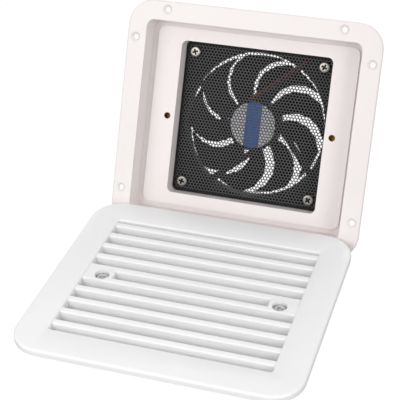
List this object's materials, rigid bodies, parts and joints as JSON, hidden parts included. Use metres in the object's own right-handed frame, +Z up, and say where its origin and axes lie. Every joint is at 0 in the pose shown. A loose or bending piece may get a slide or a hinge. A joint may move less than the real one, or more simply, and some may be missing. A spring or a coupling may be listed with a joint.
{
  "type": "camper side vent fan",
  "caption": "Leaning wall vent base with a mesh-guarded fan in its bay, and its louvred cover lying face up in front of it.",
  "frame": {"origin": "centre of the bounding box at ground level, where the base and the cover stand", "axes": "+X to the right seen from the front, +Y from the cover to the base behind it, +Z up"},
  "size_m": [0.2064, 0.3048, 0.1642],
  "materials": {
    "base_moulding": "fine satin, warm white",
    "insert_brass": "machined",
    "filter_black": "satin",
    "mesh_black": "satin black",
    "stainless_screw": "bright",
    "fan_black": "satin",
    "hub_sticker": "white with a plain blue band",
    "tube_brass": "turned",
    "bearing_bronze": "sintered",
    "board_green": "satin",
    "core_steel": "laminated",
    "coil_copper": "enamelled",
    "red_insulation": "satin",
    "black_insulation": "satin",
    "plug_white": "satin",
    "blade_black": "satin",
    "yoke_steel": "drawn",
    "magnet_dark": "matt",
    "shaft_steel": "ground",
    "washer_nylon": "satin",
    "clip_nylon": "satin",
    "cover_moulding": "smooth, cool white",
    "steel_screw": "plain"
  },
  "bodies": {
    "base": {"base_frame": "base_moulding", "threaded_inserts": "insert_brass", "filter_frame": "filter_black", "filter_mesh": "mesh_black", "fan_screws": "stainless_screw", "fan_housing": "fan_black", "hub_label": "hub_sticker", "bearing_tube": "tube_brass", "sleeve_bearing": "bearing_bronze", "circuit_board": "board_green", "stator_core": "core_steel", "coils": "coil_copper", "lead_red": "red_insulation", "lead_black": "black_insulation", "lead_connector": "plug_white"},
    "rotor": {"impeller": "blade_black", "rotor_cup": "yoke_steel", "magnet_ring": "magnet_dark", "shaft": "shaft_steel", "thrust_washer": "washer_nylon", "retaining_clip": "clip_nylon"},
    "cover": {"louvre_cover": "cover_moulding", "cover_screws": "steel_screw"}
  },
  "joints": [
    {"name": "rotor_spin", "type": "hinge", "parent": "base", "child": "rotor", "pos_m": [0.0032, 0.10843, 0.06311], "axis": [0, -0.9073, 0.4205], "continuous": true},
    {"name": "cover_lift", "type": "slide", "parent": "base", "child": "cover", "axis": [0, 0, 1], "range_m": [0, 0.12]}
  ]
}
